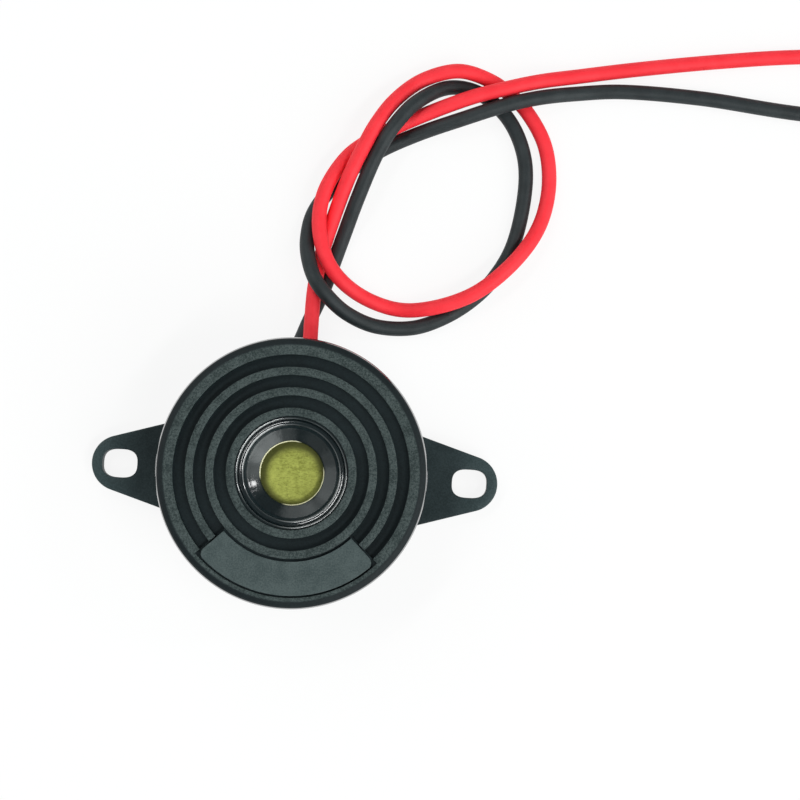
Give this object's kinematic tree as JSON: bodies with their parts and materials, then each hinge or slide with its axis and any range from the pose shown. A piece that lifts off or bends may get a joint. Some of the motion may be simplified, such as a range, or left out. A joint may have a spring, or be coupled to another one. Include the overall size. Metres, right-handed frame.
{
  "type": "electronic buzzer",
  "caption": "Round flange-mounted piezo buzzer with slotted ears, a ringed sound face, a central sound port over a brass diaphragm and knotted flying leads.",
  "frame": {"origin": "middle of the rear mounting face, on the body's axis", "axes": "+X along the line of the two ears, +Y toward the side where the leads leave, +Z out of the sound face"},
  "size_m": [0.1082, 0.0685, 0.012],
  "materials": {
    "housing_plastic": "fine spark-eroded texture, polished in the dish and on the rim",
    "plate_plastic": "smooth satin",
    "cover_plastic": "fine moulded texture",
    "diaphragm_brass": "rolled, slightly tarnished",
    "ceramic": "sintered",
    "silver": "screen-printed matt silver",
    "silicone": "smooth bead",
    "board": "phenolic paper board",
    "transistor_case": "moulded epoxy",
    "resistor_coat": "dipped lacquer with colour bands",
    "tinned_metal": "tinned",
    "red_pvc": "extruded PVC",
    "black_pvc": "extruded PVC",
    "blue_pvc": "extruded PVC"
  },
  "bodies": {
    "root": {"housing": "housing_plastic", "bare_plate": "plate_plastic", "rear_cover": "cover_plastic", "diaphragm_plate": "diaphragm_brass", "piezo_ceramic": "ceramic", "drive_electrode": "silver", "feedback_electrode": "silver", "diaphragm_bead": "silicone", "circuit_board": "board", "transistor_body": "transistor_case", "transistor_legs": "tinned_metal", "base_resistor": "resistor_coat", "collector_resistor": "resistor_coat", "feedback_resistor": "resistor_coat", "resistor_legs": "tinned_metal", "board_solder": "tinned_metal", "drive_wire": "red_pvc", "feedback_wire": "blue_pvc", "ground_wire": "black_pvc", "disc_solder": "tinned_metal", "red_lead": "red_pvc", "red_conductor": "tinned_metal", "black_lead": "black_pvc", "black_conductor": "tinned_metal"}
  },
  "joints": []
}
